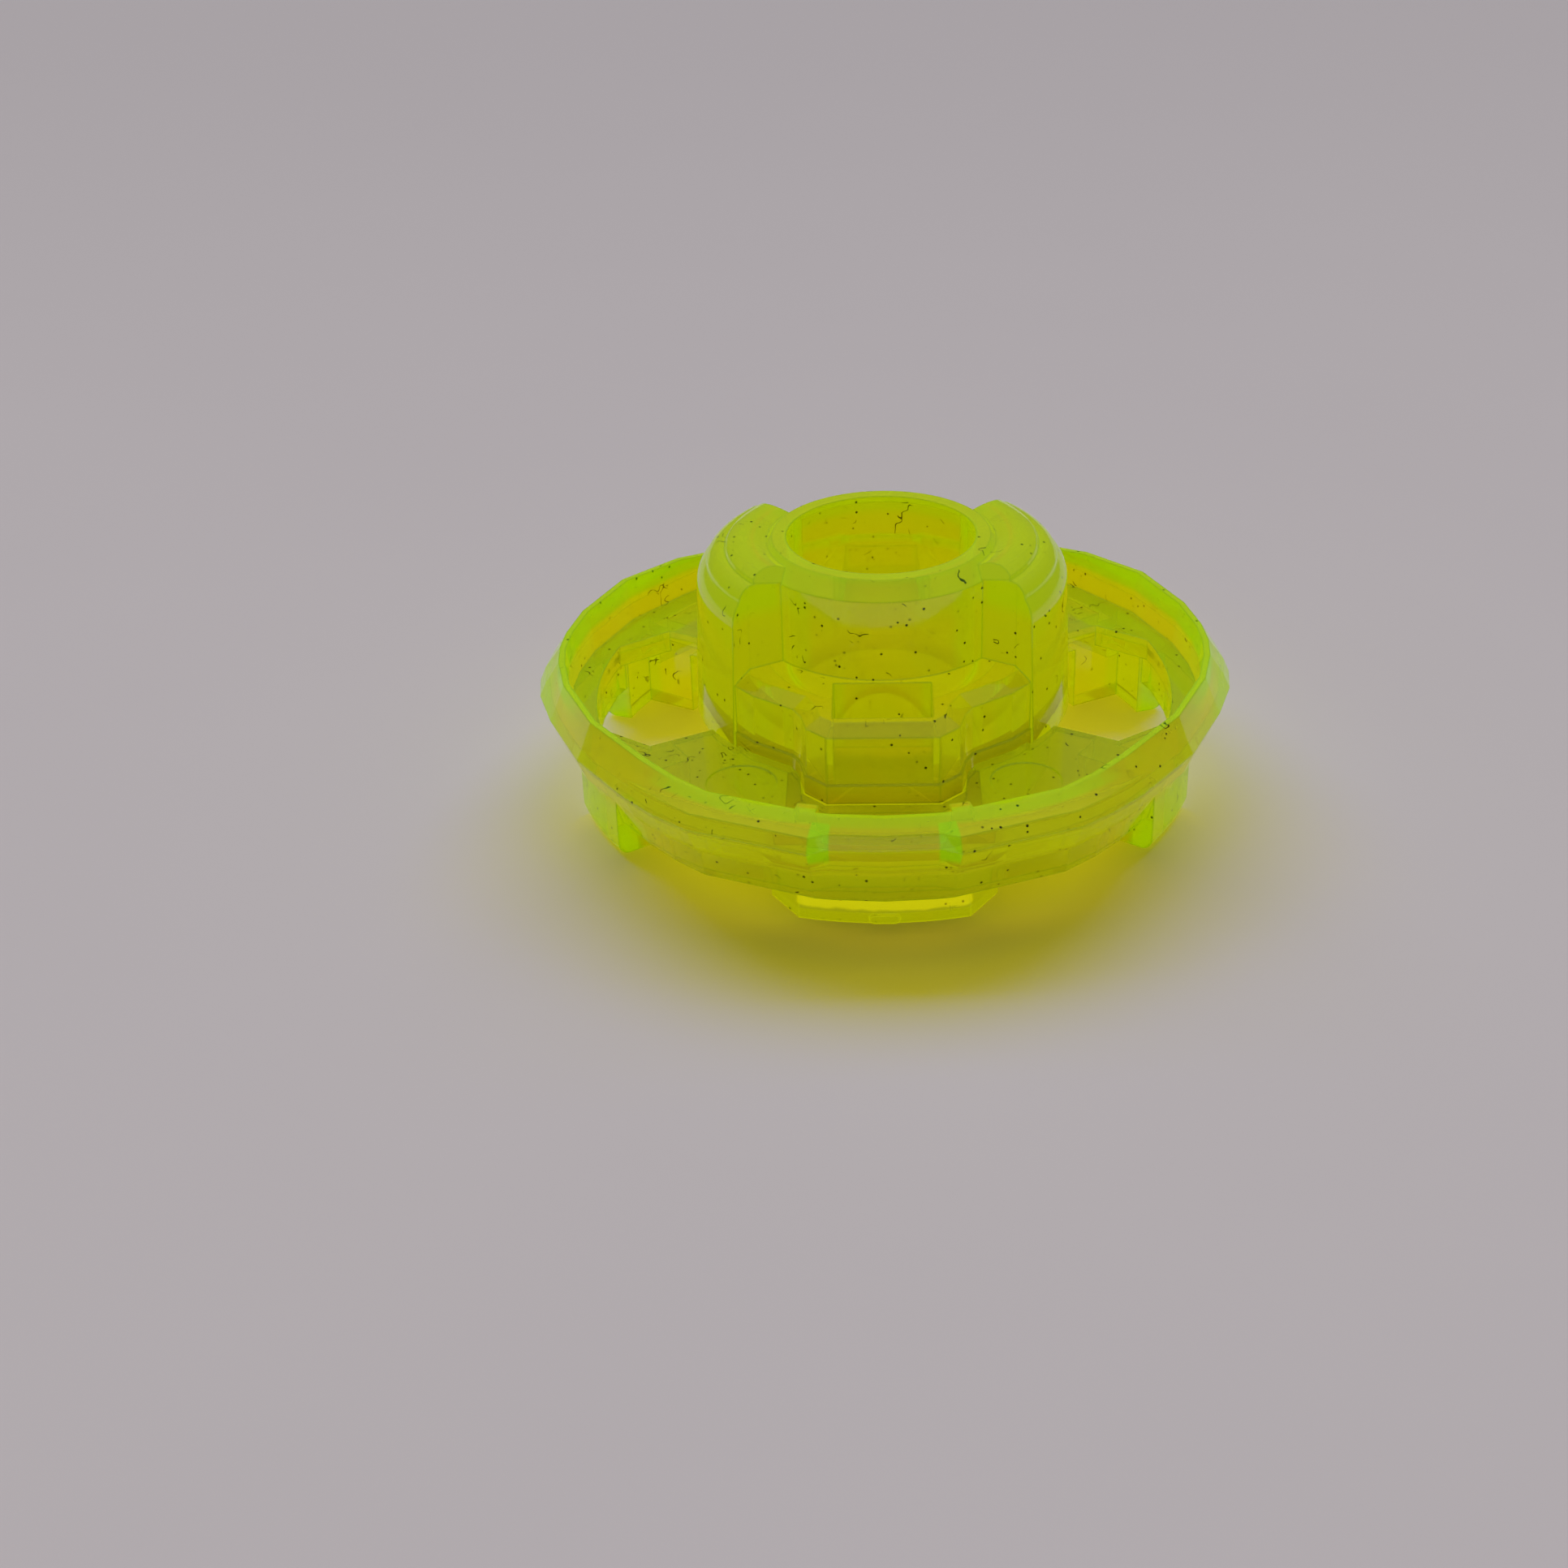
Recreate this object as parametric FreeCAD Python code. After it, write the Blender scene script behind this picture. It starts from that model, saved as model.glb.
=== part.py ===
"""Clear plastic spinning-top disk: a hub with a bore, a faceted disk and the base plate under both.

Millimetres. +Z is up along the spin axis, the origin is on that axis in the plane of the feet, and
-Y is the front. Azimuths run from the front (-Y) towards +X. Each piece is one solid.
"""
import FreeCAD
import Part
import math
import os

Vector = FreeCAD.Vector
AXIS = Vector(0, 0, 1)
CENTRE = Vector(0, 0, 0)

# heights above the feet
HUB_TOP = 14.4
SHELF_TOP = 8.9
RIM_TOP = 7.6
FLOOR_TOP = 5.0
PAD_TOP = 4.5
FLOOR_BOTTOM = 3.8
RIM_BOTTOM = 2.0
SPIGOT_BOTTOM = 2.0
TONGUE_TOP = 1.7

# hub
BORE_RADIUS = 5.3
LIP_RADIUS = 6.1
TUBE_RADIUS = 7.15
TUBE_CHAMFER = 0.85
SPIGOT_RADIUS = 6.6
WING_RADIUS = 10.75
WING_SHOULDER_RADIUS = 10.4
WING_SHOULDER = 11.7
WING_FLANK_AZIMUTH = 49.6
WING_CHAMFER = 0.8
SHELF_CHAMFER_IN = 0.85
SHELF_CHAMFER_DOWN = 0.5
PLINTH_TOP = 5.6
PLINTH_STEP = 0.12
SLOT_HALF_WIDTH = 2.65
SLOT_INNER = 7.4
SLOT_OUTER = 11.35
SLOT_BOTTOM = 5.2

# disk
RIM_LAND = 0.35
RIM_DIP = 0.85
SKIRT_INNER = 16.6
FLOOR_RADIUS = 17.2
OPENING_OUTER = 16.5
OPENING_START = 62.0
OPENING_CORNER_RADIUS = 14.6
OPENING_CORNER_AZIMUTH = 73.0
OPENING_BEVEL = 0.3
LEG_START = 54.0
LEG_END = 71.0
LEG_INNER = 13.2
LEG_OUTER = 18.0
LEG_ROUND = 0.7
RIB_INNER = 16.95
RIB_START = 11.3
RIB_END = 15.0
WALL_DRAFT = 0.25
HUB_CLEARANCE = 0.12
WING_CLEARANCE = 0.15
WING_HOLE_MARGIN = 2.0
EJECTOR_RADIUS = 1.9
EJECTOR_PLACE = (7.6, 11.3)
MARK_DEPTH = 0.06

# base plate
TONGUE_REACH = 17.4
TONGUE_HALF_AZIMUTH = 15.0
TONGUE_SHOULDER = (6.0, 14.6)
TONGUE_BEVEL = 0.45
TONGUE_EDGE = 0.6
SPINE_HALF_WIDTH = 5.2
SPINE_REACH = 15.4
PAD_CLEARANCE = 0.1
SPIGOT_CLEARANCE = 0.05
GATE_WIDTH = 1.6
GATE_HEIGHT = 0.5
GATE_PROUD = 0.15
GATE_LIFT = 0.05

# one quarter of the boss round the hub, from the front lobe to the wing
BOSS_QUARTER = [(2.95, 12.65), (4.08, 11.56), (4.35, 10.3), (4.8, 9.4), (7.0, 7.86), (8.1, 6.57)]
# one quarter of the front end of the lobed hole in the disk floor
NOTCH_QUARTER = [(3.07, 13.75), (4.35, 12.45), (4.5, 10.4)]
# one quarter of a wing's flank, from the tube outwards
FLANK_QUARTER = [(5.45, 4.6), (7.27, 5.59), (9.4, 8.4), (14.0, 8.4)]
# corners of one quarter of the rim: azimuth, how far it bulges (0 to 1), how far its top edge dips
# (0 to 1), inner radius at the top and whether it lies in the front or back recess
RIM_CORNERS = [(0, 1.0, 1.0, 17.7, True), (8.5, 1.0, 1.0, 17.7, True), (11.3, 1.0, 1.0, 17.7, False),
               (31, 0.85, 0.95, 17.7, False), (38, 0.5, 0.7, 17.7, False), (45, 0.15, 0.35, 17.7, False),
               (60, 0.0, 0.0, 17.9, False), (75, 0.2, 0.0, 18.05, False), (84, 0.8, 0.0, 18.15, False),
               (90, 1.0, 0.0, 18.2, False)]
# outside of the rim below its top edge: height, radius where narrow, where it bulges and in a recess
RIM_LEVELS = [(RIM_BOTTOM, 17.7, 18.4, 18.4), (3.6, 18.15, 18.8, 18.6), (4.2, 18.7, 19.2, 18.95),
              (5.5, 19.2, 19.85, 19.2), (6.3, 18.8, 19.5, 19.0)]


def polar(radius, azimuth, z=0.0):
    """A point at this radius and azimuth, measured from the front towards +X."""
    angle = math.radians(azimuth)
    return Vector(radius * math.sin(angle), -radius * math.cos(angle), z)


def arc(radius, start, end, z):
    """An arc about the axis between two azimuths."""
    middle = (start + end) / 2
    return Part.Arc(polar(radius, start, z), polar(radius, middle, z), polar(radius, end, z)).toShape()


def closed_wire(points):
    return Part.makePolygon(points + points[:1])


def prism(points, bottom, top):
    """A straight prism on a closed outline of (x, y) pairs."""
    outline = closed_wire([Vector(x, y, bottom) for x, y in points])
    return Part.Face(outline).extrude(Vector(0, 0, top - bottom))


def four_fold(quarter):
    """The whole outline from one quarter, mirrored in X and in Y, in order round the axis."""
    right_front = [(x, -y) for x, y in quarter]
    right_back = [(x, y) for x, y in reversed(quarter)]
    left_back = [(-x, y) for x, y in quarter]
    left_front = [(-x, -y) for x, y in reversed(quarter)]
    return right_front + right_back + left_back + left_front


def both_ends(shape):
    """The shape and its copy turned half a turn about the axis."""
    return shape.fuse(shape.rotated(CENTRE, AXIS, 180))


def cylinder(radius, bottom, top):
    return Part.makeCylinder(radius, top - bottom, Vector(0, 0, bottom), AXIS)


def sector(inner, outer, start, end, bottom, top):
    """A piece of a flat ring between two azimuths."""
    edges = [
        Part.makeLine(polar(inner, start, bottom), polar(outer, start, bottom)),
        arc(outer, start, end, bottom),
        Part.makeLine(polar(outer, end, bottom), polar(inner, end, bottom)),
        arc(inner, end, start, bottom),
    ]
    return Part.Face(Part.Wire(edges)).extrude(Vector(0, 0, top - bottom))


# ---------------------------------------------------------------- hub

def tube():
    """The upright tube with a thin flat lip and a chamfer outside it."""
    profile = closed_wire([
        Vector(0, 0, PAD_TOP),
        Vector(TUBE_RADIUS, 0, PAD_TOP),
        Vector(TUBE_RADIUS, 0, HUB_TOP - TUBE_CHAMFER),
        Vector(LIP_RADIUS, 0, HUB_TOP),
        Vector(0, 0, HUB_TOP),
    ])
    return Part.Face(profile).revolve(CENTRE, AXIS, 360)


def wing_dome():
    """The turned body that the wings are cut from: a crown, two terraces and a straight wall."""
    terraces = [
        ((6.5, 14.15), (7.7, 14.4), (8.65, 14.1)),
        ((8.75, 13.9), (9.3, 13.75), (9.75, 13.35)),
        ((9.8, 13.15), (10.25, 12.55), (WING_SHOULDER_RADIUS, WING_SHOULDER)),
    ]
    edges = [Part.makeLine(Vector(0, 0, PAD_TOP), Vector(0, 0, terraces[0][0][1]))]
    last = Vector(0, 0, terraces[0][0][1])
    for terrace in terraces:
        start, middle, end = (Vector(r, 0, z) for r, z in terrace)
        edges.append(Part.makeLine(last, start))
        edges.append(Part.Arc(start, middle, end).toShape())
        last = end
    foot = Vector(WING_RADIUS, 0, PAD_TOP)
    edges.append(Part.makeLine(last, foot))
    edges.append(Part.makeLine(foot, Vector(0, 0, PAD_TOP)))
    return Part.Face(Part.Wire(edges)).revolve(CENTRE, AXIS, 360)


def flank_chamfer(azimuth, side):
    """A wedge that bevels the top edge of a wing's flank; side is +1 or -1 along the turn."""
    block = Part.makeBox(12, 4, 4, Vector(0, -4, 0))
    block = block.rotated(CENTRE, Vector(1, 0, 0), -45)
    block = block.translated(Vector(0, 0, HUB_TOP - WING_CHAMFER))
    if side < 0:
        block = block.mirror(CENTRE, Vector(0, 1, 0))
    return block.rotated(CENTRE, AXIS, azimuth - 90)


def wings():
    """Two thick wings, left and right of the tube, with bevelled and slightly hollow flanks."""
    right = [(0.0, 0.0)] + [(x, -y) for x, y in FLANK_QUARTER] + list(reversed(FLANK_QUARTER))
    plan = prism(right, PAD_TOP, HUB_TOP)
    wing = plan.common(wing_dome())
    wing = wing.cut(flank_chamfer(WING_FLANK_AZIMUTH, 1))
    wing = wing.cut(flank_chamfer(180 - WING_FLANK_AZIMUTH, -1))
    return both_ends(wing)


def boss():
    """The low stepped boss with a lobe in front and behind, and a wide chamfer round its shelf."""
    outline = four_fold(BOSS_QUARTER)
    body = prism(outline, PAD_TOP, SHELF_TOP - SHELF_CHAMFER_DOWN)
    lower = closed_wire([Vector(x, y, SHELF_TOP - SHELF_CHAMFER_DOWN) for x, y in outline])
    upper = lower.makeOffset2D(-SHELF_CHAMFER_IN, 2).translated(Vector(0, 0, SHELF_CHAMFER_DOWN))
    bevel = Part.makeLoft([lower, upper], True, True)
    plinth_wire = closed_wire([Vector(x, y, PAD_TOP) for x, y in outline]).makeOffset2D(PLINTH_STEP, 2)
    plinth = Part.Face(plinth_wire).extrude(Vector(0, 0, PLINTH_TOP - PAD_TOP))
    return body.fuse([bevel, plinth])


def slot():
    """The blind rectangular slot in the shelf, behind the wall of the front lobe."""
    width = 2 * SLOT_HALF_WIDTH
    return Part.makeBox(width, SLOT_OUTER - SLOT_INNER, HUB_TOP - SLOT_BOTTOM,
                        Vector(-SLOT_HALF_WIDTH, -SLOT_OUTER, SLOT_BOTTOM))


def hub():
    spigot = cylinder(SPIGOT_RADIUS, SPIGOT_BOTTOM, PAD_TOP)
    body = boss().cut(both_ends(slot()))
    body = body.fuse([tube(), wings(), spigot])
    return body.cut(cylinder(BORE_RADIUS, 0, HUB_TOP)).removeSplitter()


# ---------------------------------------------------------------- disk

def rim_section(azimuth, bulge, dip, inner, in_recess):
    """The upright section of the rim at one of its corners."""
    top = RIM_TOP - dip * RIM_DIP
    outside = [(recessed if in_recess else narrow + bulge * (bulged - narrow), z)
               for z, narrow, bulged, recessed in RIM_LEVELS]
    inside = [(inner + RIM_LAND, top), (inner, top), (inner - WALL_DRAFT, FLOOR_TOP),
              (SKIRT_INNER, FLOOR_TOP), (SKIRT_INNER, RIM_BOTTOM)]
    return closed_wire([polar(radius, azimuth, z) for radius, z in outside + inside])


def rim():
    """The faceted ring: sections at every corner, joined by ruled facets all the way round."""
    half = RIM_CORNERS + [(180 - corner[0],) + corner[1:] for corner in reversed(RIM_CORNERS[:-1])]
    corners = half + [(360 - corner[0],) + corner[1:] for corner in reversed(half[1:-1])]
    sections = [rim_section(*corner) for corner in corners]
    following = sections[1:] + sections[:1]
    facets = [Part.makeLoft([near, far], True, True) for near, far in zip(sections, following)]
    return facets[0].fuse(facets[1:])


def ribs():
    """Four short ribs inside the rim, one at each end of the front and back recesses."""
    outer = RIM_CORNERS[0][3] + RIM_LAND / 2
    top = RIM_TOP - RIM_DIP
    right = sector(RIB_INNER, outer, RIB_START, RIB_END, FLOOR_TOP - MARK_DEPTH, top)
    left = sector(RIB_INNER, outer, -RIB_END, -RIB_START, FLOOR_TOP - MARK_DEPTH, top)
    return [both_ends(right), both_ends(left)]


def opening_outline(grow, z):
    """The right side opening from above, made wider by grow on its two long sides and slanting corners."""
    inner = WING_RADIUS / 2
    widen = Vector(0, -grow, 0)
    near = [polar(inner, OPENING_START, z), polar(OPENING_CORNER_RADIUS, OPENING_START, z),
            polar(OPENING_OUTER, OPENING_CORNER_AZIMUTH, z)]
    near = [point + widen for point in near]
    far = [Vector(point.x, -point.y, z) for point in reversed(near)]
    bow = Part.Arc(near[-1], polar(OPENING_OUTER, 90, z), far[0]).toShape()
    return Part.Wire(Part.makePolygon(near).Edges + [bow] + Part.makePolygon(far + near[:1]).Edges)


def opening():
    """A side opening right through the floor, with a bevelled top edge in front and behind."""
    below = FLOOR_BOTTOM - 1
    through = Part.Face(opening_outline(0, below)).extrude(Vector(0, 0, FLOOR_TOP + 1 - below))
    funnel = Part.makeLoft([opening_outline(0, FLOOR_TOP - OPENING_BEVEL),
                            opening_outline(OPENING_BEVEL, FLOOR_TOP)], True, True)
    return through.fuse(funnel)


def hub_hole():
    """The lobed hole in the floor that the hub stands in, open to both side openings."""
    below = FLOOR_BOTTOM - 1
    above = FLOOR_TOP + 1
    outline = closed_wire([Vector(x, y, below) for x, y in four_fold(BOSS_QUARTER)])
    outline = outline.makeOffset2D(PLINTH_STEP + HUB_CLEARANCE, 2)
    boss_hole = Part.Face(outline).extrude(Vector(0, 0, above - below))
    flank = WING_FLANK_AZIMUTH - WING_HOLE_MARGIN
    wing_hole = sector(1, WING_RADIUS + WING_CLEARANCE, flank, 180 - flank, below, above)
    notch = prism(four_fold(NOTCH_QUARTER), below, above)
    return boss_hole.fuse([both_ends(wing_hole), notch, both_ends(opening())])


def leg():
    """The front right leg: a block beside the side opening, wider at its outer foot, which is rounded."""
    outer = sector(SKIRT_INNER - 0.3, LEG_OUTER, LEG_START, LEG_END, 0, FLOOR_BOTTOM)
    foot = [e for e in outer.Edges if e.BoundBox.ZMax < 0.01
            and min(math.hypot(v.X, v.Y) for v in e.Vertexes) > LEG_OUTER - 0.01]
    outer = outer.makeFillet(LEG_ROUND, foot)
    return outer.fuse(sector(LEG_INNER, SKIRT_INNER, LEG_START, OPENING_START, 0, FLOOR_BOTTOM))


def legs():
    right_front = leg()
    right_back = right_front.mirror(CENTRE, Vector(0, 1, 0))
    return both_ends(right_front).fuse(both_ends(right_back))


def ejector_marks():
    """Four faint round marks that the mould's ejector pins leave on the floor."""
    x, y = EJECTOR_PLACE
    discs = [Part.makeCylinder(EJECTOR_RADIUS, 1, Vector(sx * x, sy * y, FLOOR_TOP - MARK_DEPTH), AXIS)
             for sx in (-1, 1) for sy in (-1, 1)]
    return Part.makeCompound(discs)


def disk():
    floor = cylinder(FLOOR_RADIUS, FLOOR_BOTTOM, FLOOR_TOP)
    body = rim().fuse(floor)
    body = body.cut(hub_hole())
    body = body.cut(ejector_marks())
    return body.fuse(ribs() + [legs()]).removeSplitter()


# ---------------------------------------------------------------- base plate

def tongue_outline(inset, z):
    """The tongue's outline from above: an arc in front, two slanting corners and straight sides."""
    reach = TONGUE_REACH - inset
    side, shoulder = TONGUE_SHOULDER[0] - inset, TONGUE_SHOULDER[1]
    right = polar(reach, TONGUE_HALF_AZIMUTH, z)
    left = polar(reach, -TONGUE_HALF_AZIMUTH, z)
    sides = [right, Vector(side, -shoulder, z), Vector(side, 0, z), Vector(-side, 0, z),
             Vector(-side, -shoulder, z), left]
    front = Part.Arc(left, polar(reach, 0, z), right).toShape()
    return Part.Wire([front] + Part.makePolygon(sides).Edges)


def tongue():
    """The front tongue of the base plate: its tip leans back above a narrow upright edge."""
    lower = Part.Face(tongue_outline(0, 0)).extrude(Vector(0, 0, TONGUE_EDGE))
    foot = tongue_outline(0, TONGUE_EDGE)
    top = tongue_outline(TONGUE_BEVEL, TONGUE_TOP)
    return lower.fuse(Part.makeLoft([foot, top], True, True))


def gate_mark():
    """The nub where the plastic was fed in, low on the front tongue."""
    flat = GATE_WIDTH - GATE_HEIGHT
    depth = GATE_PROUD + 1
    front = -TONGUE_REACH - GATE_PROUD
    middle = Part.makeBox(flat, depth, GATE_HEIGHT, Vector(-flat / 2, front, GATE_LIFT))
    centre = GATE_LIFT + GATE_HEIGHT / 2
    ends = [Part.makeCylinder(GATE_HEIGHT / 2, depth, Vector(x, front, centre), Vector(0, 1, 0))
            for x in (-flat / 2, flat / 2)]
    return middle.fuse(ends)


def pad():
    """The raised pad that fills the lobed hole and carries the hub."""
    lobes = closed_wire([Vector(x, y, FLOOR_BOTTOM) for x, y in four_fold(NOTCH_QUARTER)])
    lobes = Part.Face(lobes.makeOffset2D(-PAD_CLEARANCE, 2))
    lobes = lobes.extrude(Vector(0, 0, PAD_TOP - FLOOR_BOTTOM))
    return lobes.fuse(prism(four_fold(BOSS_QUARTER), FLOOR_BOTTOM, PAD_TOP))


def base_plate():
    spine = Part.makeBox(2 * SPINE_HALF_WIDTH, 2 * SPINE_REACH, FLOOR_BOTTOM,
                         Vector(-SPINE_HALF_WIDTH, -SPINE_REACH, 0))
    body = both_ends(tongue()).fuse([spine, cylinder(WING_RADIUS - 1, 0, FLOOR_BOTTOM), pad(), gate_mark()])
    body = body.cut(cylinder(BORE_RADIUS, 0, PAD_TOP))
    body = body.cut(cylinder(SPIGOT_RADIUS + SPIGOT_CLEARANCE, SPIGOT_BOTTOM, PAD_TOP))
    return body.removeSplitter()


PIECES = {
    "hub": hub,
    "disk": disk,
    "base_plate": base_plate,
}


def main():
    os.makedirs("parts", exist_ok=True)
    for name, make in PIECES.items():
        shape = make()
        solids = shape.Solids
        print(name, "valid", shape.isValid(), "solids", len(solids), "volume", round(shape.Volume, 1))
        solids[0].exportStep("parts/" + name + ".step")


main()
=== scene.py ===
"""Studio picture of the clear yellow-green spinning-top disk: hub, faceted disk and base plate.

The three CAD pieces keep their meshes and get refracting, glowing plastic made of shader nodes.
Metres, +Z up, the same frame as the CAD model; -Y is the front.
"""
import math

import bpy
from mathutils import Matrix, Vector

MM_PER_METRE = 1000.0

# camera: a close-up from in front and above
CAMERA_PLACE = (0.0, -0.1125, 0.0641)
CAMERA_PITCH = 30.29
CAMERA_YAW = -3.01
CAMERA_ROLL = -2.11
CAMERA_LENS = 50.31
SENSOR_WIDTH = 36.0
CLIP_START = 0.005

# inside the plastic: what a metre of it absorbs and what it gives off, in red, green and blue
ABSORB = (150.0, 140.0, 2600.0)
GLOW = (62.0, 65.5, 0.0)

# the plastic's surface; the shadow tint is over 1 to make up for what the inside absorbs
PLASTIC_IOR = 1.52
PLASTIC_ROUGHNESS = 0.06
TRANSMISSION = 0.82
SPECULAR_LEVEL = 0.35
SHADOW_TINT = (1.10, 1.06, 0.3, 1.0)
EDGE_ROUNDING = 0.00016
EDGE_SAMPLES = 4
EDGE_LEAN = (0.995, 0.90)
RIPPLE_STRENGTH = 0.10
RIPPLE_HEIGHT = 0.00002

# colours of the surface, and what it gives off
YELLOW = (0.94, 0.94, 0.04, 1.0)
WARM = (0.96, 0.92, 0.04, 1.0)
# olive: painted shade on the floor and low on the rim
OLIVE = (0.48, 0.60, 0.03, 1.0)
# lime: painted glow at edges and ends, and painted highlight on faces turned up
LIME = (0.52, 0.97, 0.02, 1.0)
# edge: painted shade, darker green along sharp edges
EDGE = (0.42, 0.68, 0.06, 1.0)
DUST = (0.004, 0.005, 0.001, 1.0)
NO_GLOW = (0.0, 0.0, 0.0, 1.0)
# warm glow: painted light, as if the lamp behind shone through thin walls
WARM_GLOW = (0.075, 0.04, 0.0, 1.0)
# lime glow: painted glow at the rim's edges and ends, ribs, feet, crowns, lip and bore sides
LIME_GLOW = (0.01, 0.09, 0.0, 1.0)
# strip glow: painted highlight along the tongues
STRIP_GLOW = (0.22, 0.18, 0.0, 1.0)

# noises: clouds per millimetre, and detail
RIPPLE_NOISE = (0.9, 4.0)
WARM_NOISE = (0.35, 2.0)
STRIP_NOISE = (0.6, 3.0)
FIBRE_NOISE = (0.9, 1.0)
FIBRE_PATCH_NOISE = (0.55, 2.0)
FIBRE_AREA_NOISE = (0.31, 2.0)

# ranges over which a noise or a cell value fades a mask in
WARM_FADE = (0.35, 0.65)
SPECKS_PER_MM = 2.2
SPECK_SIZE = (0.20, 0.15)
SPECK_SHARE = (0.87, 0.88)
FIBRE_LEVEL = 0.5
FIBRE_WIDTH = (0.012, 0.006)
FIBRE_PATCHES = (0.61, 0.625)
FIBRE_AREAS = (0.50, 0.52)
STRIP_WAVE = 0.5

# regions of the object: each limit is a place (see places), where it starts and where it is full
FACES_UP = (("upward", 0.7, 0.9),)
BEHIND_FRONT = (("along", -9.0, -3.0),)
RIM_LAND = (("height", 6.2, 6.7), ("radius", 17.2, 17.5), ("radius", 18.75, 18.45))
RIM_ENDS = (("side", 17.9, 18.9), ("height", 2.5, 5.0))
RIM_INSIDE = (("radius", 17.0, 17.2), ("radius", 18.2, 17.9), ("height", 5.0, 5.2), ("height", 6.7, 6.2))
RIBS = (("azimuth", 8.2, 8.6), ("azimuth", 11.6, 11.2), ("radius", 18.25, 18.5), ("height", 4.5, 5.0))
SKIRT = (("height", 3.8, 3.4), ("radius", 17.6, 17.9), ("azimuth", 45.0, 30.0))
FEET = (("height", 3.6, 2.8), ("side", 12.0, 13.5), ("radius", 16.2, 16.8))
LEGS = (("height", 3.9, 3.7), ("radius", 12.8, 13.1), ("radius", 16.8, 16.2), ("side", 10.2, 10.6))
FLOOR = (("upward", 0.9, 0.98), ("height", 5.4, 5.15), ("height", 4.7, 4.9), ("radius", 8.0, 9.0))
CROWNS = (("radius", 6.9, 7.6), ("height", 11.6, 12.8))
LIP = (("height", 13.2, 13.8), ("radius", 7.3, 7.0))
BORE = (("radius", 5.6, 5.4),)
BORE_SIDES = BORE + (("side", 4.3, 5.0),)
HIGH_SLOPES = (("upward", 0.3, 0.5), ("upward", 0.93, 0.85), ("height", 10.0, 11.0))
STRIP = (("height", 0.95, 1.1), ("height", 1.65, 1.5), ("radius", 16.4, 16.7), ("azimuth", 16.0, 15.0))
TONGUE_RIM = (("radius", 15.2, 15.6), ("height", 1.3, 0.9), ("azimuth", 27.0, 24.0))

# what each colour covers, and how strongly: the lime is painted glow and painted highlight, the warm glow
# is painted light through thin walls, the olive is painted shade
PAINTED_GLOW_REGIONS = (
    (RIM_LAND + FACES_UP, 0.6),
    (RIM_LAND + BEHIND_FRONT, 0.6),
    (RIM_ENDS, 0.5),
    (RIBS, 1.0),
    (FEET, 0.4),
    (CROWNS, 0.4),
    (LIP, 0.35),
    (BORE_SIDES, 0.5),
    (HIGH_SLOPES, 0.4),
)
# painted light: warm glow on the bore, the inside of the rim away from the front, and the legs
PAINTED_BACKLIGHT_REGIONS = (
    (BORE, 0.35),
    (RIM_INSIDE + BEHIND_FRONT, 1.0),
    (LEGS, 0.35),
)
# painted shade: olive on the floor and low on the rim
PAINTED_SHADE_REGIONS = (
    (FLOOR, 1.0),
    (SKIRT, 0.45),
)

# table: two near tones in soft clouds, with painted shade darker towards the back
TABLE_REACH = 3.0
TABLE_GAP = 0.00003
TABLE_ROUGHNESS = 0.75
TABLE_DARK = (0.685, 0.645, 0.66, 1.0)
TABLE_LIGHT = (0.715, 0.675, 0.69, 1.0)
TABLE_PAINTED_SHADE = (0.53, 0.50, 0.515, 1.0)
TABLE_FADE = (-0.10, 0.28)
TABLE_CLOUDS_PER_METRE = 30.0
TABLE_CLOUD_DETAIL = 3.0

# one broad lamp behind the object
KEY_PLACE = (-0.15, 2.26, 1.97)
KEY_SIZE = (4.6, 1.3)
KEY_POWER = 119.5
KEY_COLOUR = (1.0, 0.975, 0.99)

# surroundings: the room in reflections, the backdrop to the eye, the dim light on the table
ROOM_SIDES = (0.07, 0.07, 0.075, 1.0)
ROOM_TOP = (0.20, 0.20, 0.21, 1.0)
ROOM_FADE = (0.3, 0.95)
BACKDROP_COLOUR = (1.0, 0.98, 1.0, 1.0)
BACKDROP_STRENGTH = 0.32
DIM_COLOUR = (0.95, 0.96, 1.0, 1.0)
DIM_STRENGTH = 0.02


def new_material(name):
    """An empty node material and its tree."""
    material = bpy.data.materials.new(name)
    material.use_nodes = True
    material.node_tree.nodes.clear()
    return material, material.node_tree


def add(tree, kind, **values):
    """A node of this kind with its properties and unlinked sockets set by name."""
    node = tree.nodes.new(kind)
    for key, value in values.items():
        if hasattr(node, key):
            setattr(node, key, value)
        else:
            node.inputs[key.replace("_", " ")].default_value = value
    return node


def feed(tree, sockets, values):
    """Gives each socket its value: a link from another socket, or a plain number or colour."""
    for socket, value in zip(sockets, values):
        if isinstance(value, (float, tuple)):
            socket.default_value = value
        else:
            tree.links.new(value, socket)


def maths(tree, operation, first, second=0.0):
    """The result of one operation on two sockets or numbers."""
    node = add(tree, "ShaderNodeMath", operation=operation)
    feed(tree, node.inputs, (first, second))
    return node.outputs["Value"]


def ramp(tree, value, start, end):
    """Rises smoothly from 0 where the value is at start to 1 where it is at end."""
    node = add(tree, "ShaderNodeMapRange", interpolation_type="SMOOTHSTEP", From_Min=start, From_Max=end)
    tree.links.new(value, node.inputs["Value"])
    return node.outputs["Result"]


def both(tree, *masks):
    """Where all the masks are 1."""
    result = masks[0]
    for mask in masks[1:]:
        result = maths(tree, "MULTIPLY", result, mask)
    return result


def mixed(tree, mask, below, above):
    """The colour below where the mask is 0 and the colour above where it is 1."""
    node = add(tree, "ShaderNodeMix", data_type="RGBA")
    tree.links.new(mask, node.inputs["Factor"])
    feed(tree, [socket for socket in node.inputs if socket.type == "RGBA"], (below, above))
    return next(socket for socket in node.outputs if socket.type == "RGBA")


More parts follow.
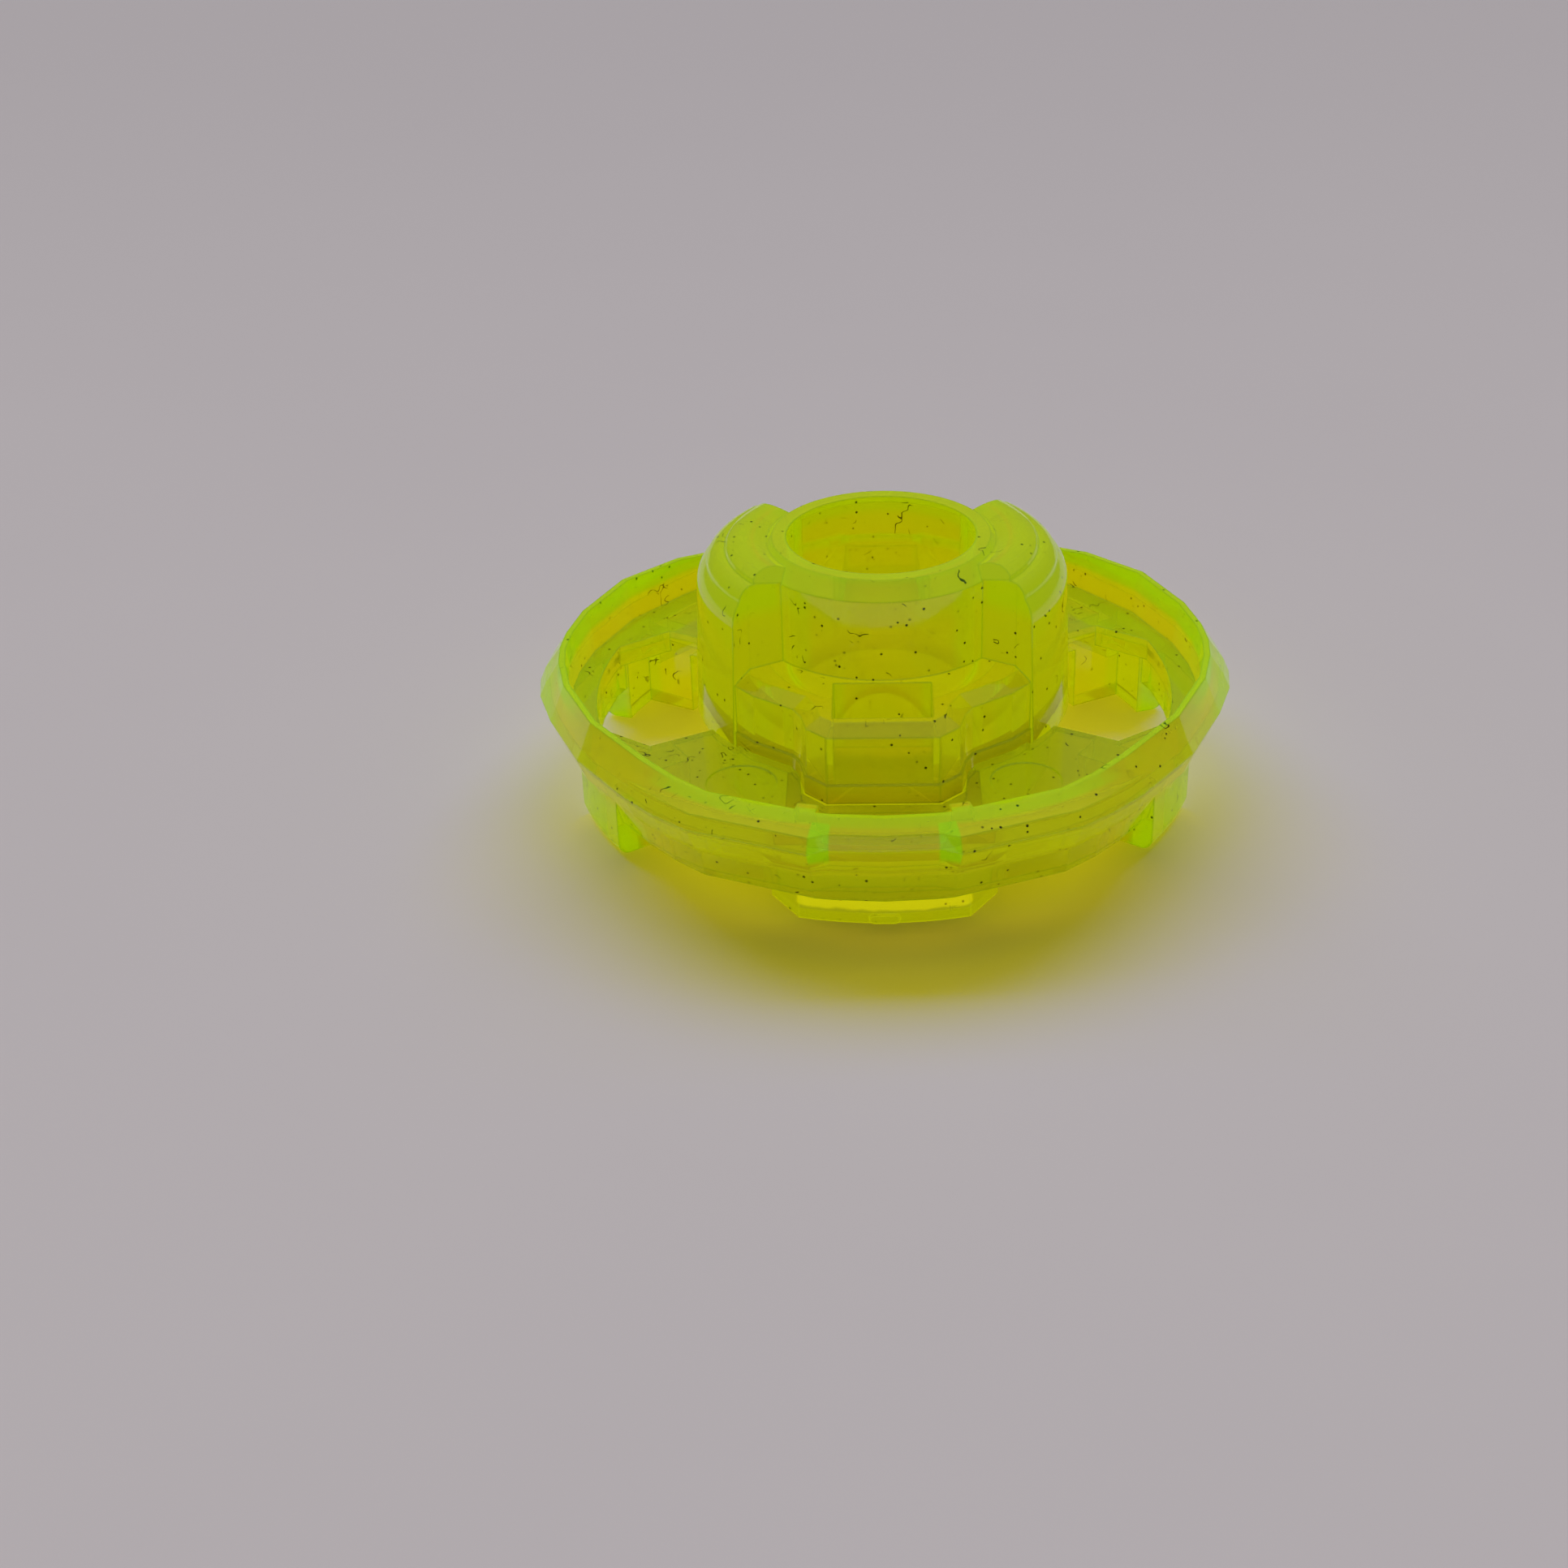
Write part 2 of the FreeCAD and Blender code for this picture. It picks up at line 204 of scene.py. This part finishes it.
def blended(tree, factor, below, above):
    """The shader below where the factor is 0 and the shader above where it is 1."""
    node = add(tree, "ShaderNodeMixShader")
    feed(tree, node.inputs, (factor, below, above))
    return node.outputs["Shader"]


def separated(tree, vector):
    """The X, Y and Z sockets of a vector."""
    node = add(tree, "ShaderNodeSeparateXYZ")
    tree.links.new(vector, node.inputs["Vector"])
    return node.outputs


def places(tree):
    """Sockets for where a point lies on the object: millimetres, and degrees from the front or back."""
    coords = add(tree, "ShaderNodeTexCoord")
    scaled = add(tree, "ShaderNodeVectorMath", operation="SCALE", Scale=MM_PER_METRE)
    tree.links.new(coords.outputs["Object"], scaled.inputs[0])
    point = separated(tree, scaled.outputs["Vector"])
    side = maths(tree, "ABSOLUTE", point["X"])
    depth = maths(tree, "ABSOLUTE", point["Y"])
    squares = maths(tree, "ADD", maths(tree, "MULTIPLY", side, side),
                    maths(tree, "MULTIPLY", depth, depth))
    facing = add(tree, "ShaderNodeNewGeometry")
    return {
        "point": scaled.outputs["Vector"],
        "side": side,
        "along": point["Y"],
        "height": point["Z"],
        "radius": maths(tree, "SQRT", squares),
        "azimuth": maths(tree, "DEGREES", maths(tree, "ARCTAN2", side, depth)),
        "upward": separated(tree, facing.outputs["Normal"])["Z"],
    }


def noise(tree, at, scale, detail):
    """A cloudy value between 0 and 1; the scale is in clouds per millimetre."""
    node = add(tree, "ShaderNodeTexNoise", Scale=scale, Detail=detail)
    tree.links.new(at["point"], node.inputs["Vector"])
    return node.outputs["Fac"]


def region(tree, at, limits):
    """Where a point is inside all of a region's limits, fading at its borders."""
    return both(tree, *[ramp(tree, at[place], start, full) for place, start, full in limits])


def covered(tree, at, weighted):
    """The highest weight among the regions that a point lies in."""
    result = 0.0
    for limits, weight in weighted:
        result = maths(tree, "MAXIMUM", result, maths(tree, "MULTIPLY", region(tree, at, limits), weight))
    return result


def edge_mask(tree, bevel):
    """Where the surface turns sharply, from how far the rounded normal leans away from the true one."""
    facing = add(tree, "ShaderNodeNewGeometry")
    dot = add(tree, "ShaderNodeVectorMath", operation="DOT_PRODUCT")
    tree.links.new(facing.outputs["Normal"], dot.inputs[0])
    tree.links.new(bevel.outputs["Normal"], dot.inputs[1])
    return ramp(tree, dot.outputs["Value"], *EDGE_LEAN)


def strip_highlight_mask(tree, at, bevel):
    """A painted highlight: the bright strip along the tongues, at a wavering height, and the tongues'
    bright outline.
    """
    wave = maths(tree, "MULTIPLY", noise(tree, at, *STRIP_NOISE), STRIP_WAVE)
    wavering = dict(at, height=maths(tree, "ADD", at["height"], wave))
    outline = both(tree, edge_mask(tree, bevel), region(tree, at, TONGUE_RIM))
    return maths(tree, "MAXIMUM", region(tree, wavering, STRIP), outline)


def dust_mask(tree, at):
    """Scattered specks of dust, and a few short curly fibres along a noise contour."""
    cells = add(tree, "ShaderNodeTexVoronoi", Scale=SPECKS_PER_MM)
    tree.links.new(at["point"], cells.inputs["Vector"])
    chance = add(tree, "ShaderNodeSeparateColor")
    tree.links.new(cells.outputs["Color"], chance.inputs["Color"])
    specks = both(tree, ramp(tree, cells.outputs["Distance"], *SPECK_SIZE),
                  ramp(tree, chance.outputs["Red"], *SPECK_SHARE))
    contour = maths(tree, "ABSOLUTE", maths(tree, "SUBTRACT", noise(tree, at, *FIBRE_NOISE), FIBRE_LEVEL))
    fibres = both(tree, ramp(tree, contour, *FIBRE_WIDTH),
                  ramp(tree, noise(tree, at, *FIBRE_PATCH_NOISE), *FIBRE_PATCHES),
                  ramp(tree, noise(tree, at, *FIBRE_AREA_NOISE), *FIBRE_AREAS))
    return maths(tree, "MAXIMUM", specks, fibres)


def body_colour(tree, at, painted_glow):
    """Yellow with cloudy warmer areas, painted shade in olive on the floor and low on the rim, and lime
    where glow and lighter upward faces are painted.
    """
    yellow = mixed(tree, ramp(tree, noise(tree, at, *WARM_NOISE), *WARM_FADE), YELLOW, WARM)
    return mixed(tree, painted_glow, mixed(tree, covered(tree, at, PAINTED_SHADE_REGIONS), yellow, OLIVE), LIME)


def surface_normal(tree, at, bevel):
    """The normal with rounded edges and a faint ripple."""
    bump = add(tree, "ShaderNodeBump", Strength=RIPPLE_STRENGTH, Distance=RIPPLE_HEIGHT)
    tree.links.new(noise(tree, at, *RIPPLE_NOISE), bump.inputs["Height"])
    tree.links.new(bevel.outputs["Normal"], bump.inputs["Normal"])
    return bump.outputs["Normal"]


def skin(tree, at):
    """The refracting surface with its colours, painted glow, painted highlights and painted shade, dust,
    rounded edges and ripple.
    """
    bevel = add(tree, "ShaderNodeBevel", samples=EDGE_SAMPLES, Radius=EDGE_ROUNDING)
    # mask of the painted glow and the painted highlight on faces turned up
    painted_glow = covered(tree, at, PAINTED_GLOW_REGIONS)
    # painted shade: darker green along sharp edges
    edged = mixed(tree, edge_mask(tree, bevel), body_colour(tree, at, painted_glow), EDGE)
    # painted light through thin walls from behind
    painted_backlight = mixed(tree, covered(tree, at, PAINTED_BACKLIGHT_REGIONS), NO_GLOW, WARM_GLOW)
    light = mixed(tree, painted_glow, painted_backlight, LIME_GLOW)
    glass = add(tree, "ShaderNodeBsdfPrincipled", IOR=PLASTIC_IOR, Roughness=PLASTIC_ROUGHNESS,
                Transmission_Weight=TRANSMISSION, Specular_IOR_Level=SPECULAR_LEVEL, Emission_Strength=1.0)
    link = tree.links.new
    link(mixed(tree, dust_mask(tree, at), edged, DUST), glass.inputs["Base Color"])
    link(mixed(tree, strip_highlight_mask(tree, at, bevel), light, STRIP_GLOW), glass.inputs["Emission Color"])
    link(surface_normal(tree, at, bevel), glass.inputs["Normal"])
    return glass.outputs["BSDF"]


def inside(tree):
    """The volume that absorbs blue and glows yellow."""
    density = max(ABSORB)
    kept = tuple(1 - part / density for part in ABSORB) + (1.0,)
    absorb = add(tree, "ShaderNodeVolumeAbsorption", Density=density, Color=kept)
    strength = max(GLOW)
    tone = tuple(part / strength for part in GLOW) + (1.0,)
    glow = add(tree, "ShaderNodeEmission", Strength=strength, Color=tone)
    total = add(tree, "ShaderNodeAddShader")
    feed(tree, total.inputs, (absorb.outputs["Volume"], glow.outputs["Emission"]))
    return total.outputs["Shader"]


def plastic(name):
    """Clear fluorescent plastic; light that goes straight through it to the table is tinted."""
    material, tree = new_material(name)
    output = add(tree, "ShaderNodeOutputMaterial")
    path = add(tree, "ShaderNodeLightPath")
    tinted = add(tree, "ShaderNodeBsdfTransparent", Color=SHADOW_TINT)
    surface = blended(tree, path.outputs["Is Shadow Ray"], skin(tree, places(tree)), tinted.outputs["BSDF"])
    tree.links.new(surface, output.inputs["Surface"])
    tree.links.new(inside(tree), output.inputs["Volume"])
    return material


def dress(node, material):
    """Gives a CAD piece this material alone."""
    node.data.materials.clear()
    node.data.materials.append(material)


def table_paper():
    """Pale matt paper with soft clouds and painted shade, darker towards the back."""
    material, tree = new_material("table_paper")
    output = add(tree, "ShaderNodeOutputMaterial")
    paper = add(tree, "ShaderNodeBsdfPrincipled", Roughness=TABLE_ROUGHNESS)
    coords = add(tree, "ShaderNodeTexCoord")
    cloud = add(tree, "ShaderNodeTexNoise", Scale=TABLE_CLOUDS_PER_METRE, Detail=TABLE_CLOUD_DETAIL)
    tree.links.new(coords.outputs["Object"], cloud.inputs["Vector"])
    near = mixed(tree, cloud.outputs["Fac"], TABLE_DARK, TABLE_LIGHT)
    fade = ramp(tree, separated(tree, coords.outputs["Object"])["Y"], *TABLE_FADE)
    tree.links.new(mixed(tree, fade, near, TABLE_PAINTED_SHADE), paper.inputs["Base Color"])
    tree.links.new(paper.outputs["BSDF"], output.inputs["Surface"])
    return material


def table():
    """A plain pale sheet, far larger than the camera's view."""
    mesh = bpy.data.meshes.new("table")
    corners = [(-1, -1), (1, -1), (1, 1), (-1, 1)]
    mesh.from_pydata([(x * TABLE_REACH, y * TABLE_REACH, -TABLE_GAP) for x, y in corners],
                     [], [(0, 1, 2, 3)])
    mesh.materials.append(table_paper())
    sheet = bpy.data.objects.new("table", mesh)
    bpy.context.scene.collection.objects.link(sheet)
    return sheet


def key_light():
    """The broad lamp, aimed at the object and hidden from reflections and from the view through it."""
    data = bpy.data.lights.new("key", "AREA")
    data.shape = "RECTANGLE"
    data.size, data.size_y = KEY_SIZE
    data.energy = KEY_POWER
    data.color = KEY_COLOUR
    lamp = bpy.data.objects.new("key", data)
    bpy.context.scene.collection.objects.link(lamp)
    lamp.location = KEY_PLACE
    lamp.rotation_euler = (-Vector(KEY_PLACE)).to_track_quat("-Z", "Y").to_euler()
    lamp.visible_glossy = False
    lamp.visible_transmission = False


def world_light():
    """A pale backdrop that reflects as a dim room, lighter overhead, and hardly lights the table."""
    world = bpy.data.worlds.new("studio")
    world.use_nodes = True
    tree = world.node_tree
    room = tree.nodes["Background"]
    coords = add(tree, "ShaderNodeTexCoord")
    height = separated(tree, coords.outputs["Generated"])["Z"]
    tree.links.new(mixed(tree, ramp(tree, height, *ROOM_FADE), ROOM_SIDES, ROOM_TOP), room.inputs["Color"])
    backdrop = add(tree, "ShaderNodeBackground", Color=BACKDROP_COLOUR, Strength=BACKDROP_STRENGTH)
    dim = add(tree, "ShaderNodeBackground", Color=DIM_COLOUR, Strength=DIM_STRENGTH)
    path = add(tree, "ShaderNodeLightPath")
    seen = blended(tree, path.outputs["Is Glossy Ray"], backdrop.outputs["Background"],
                   room.outputs["Background"])
    surroundings = blended(tree, path.outputs["Is Diffuse Ray"], seen, dim.outputs["Background"])
    tree.links.new(surroundings, tree.nodes["World Output"].inputs["Surface"])
    bpy.context.scene.world = world


def lighting():
    """The world, the key lamp and the plain view transform."""
    world_light()
    key_light()
    bpy.context.scene.view_settings.view_transform = "Standard"


def camera():
    """The scene's camera, looking down at the object by its pitch, yaw and roll."""
    pitch, yaw, roll = (math.radians(angle) for angle in (CAMERA_PITCH, CAMERA_YAW, CAMERA_ROLL))
    level = Vector((math.sin(yaw), math.cos(yaw), 0.0))
    forward = level * math.cos(pitch) - Vector((0.0, 0.0, math.sin(pitch)))
    right = Vector((math.cos(yaw), -math.sin(yaw), 0.0))
    up = right.cross(forward)
    side = right * math.cos(roll) + up * math.sin(roll)
    top = up * math.cos(roll) - right * math.sin(roll)
    data = bpy.data.cameras.new("camera")
    data.sensor_width = SENSOR_WIDTH
    data.lens = CAMERA_LENS
    data.clip_start = CLIP_START
    eye = bpy.data.objects.new("camera", data)
    bpy.context.scene.collection.objects.link(eye)
    turn = Matrix((side, top, -forward)).transposed().to_4x4()
    eye.matrix_world = Matrix.Translation(CAMERA_PLACE) @ turn
    bpy.context.scene.camera = eye


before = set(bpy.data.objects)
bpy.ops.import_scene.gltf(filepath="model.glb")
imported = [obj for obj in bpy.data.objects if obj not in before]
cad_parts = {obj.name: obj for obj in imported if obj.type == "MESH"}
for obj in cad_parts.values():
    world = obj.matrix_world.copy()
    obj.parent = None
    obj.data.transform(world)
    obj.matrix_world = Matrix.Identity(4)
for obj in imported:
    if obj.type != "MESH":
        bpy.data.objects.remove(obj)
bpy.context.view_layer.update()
for node_name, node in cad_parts.items():
    dress(node, plastic(node_name + "_plastic"))
table()
lighting()
camera()
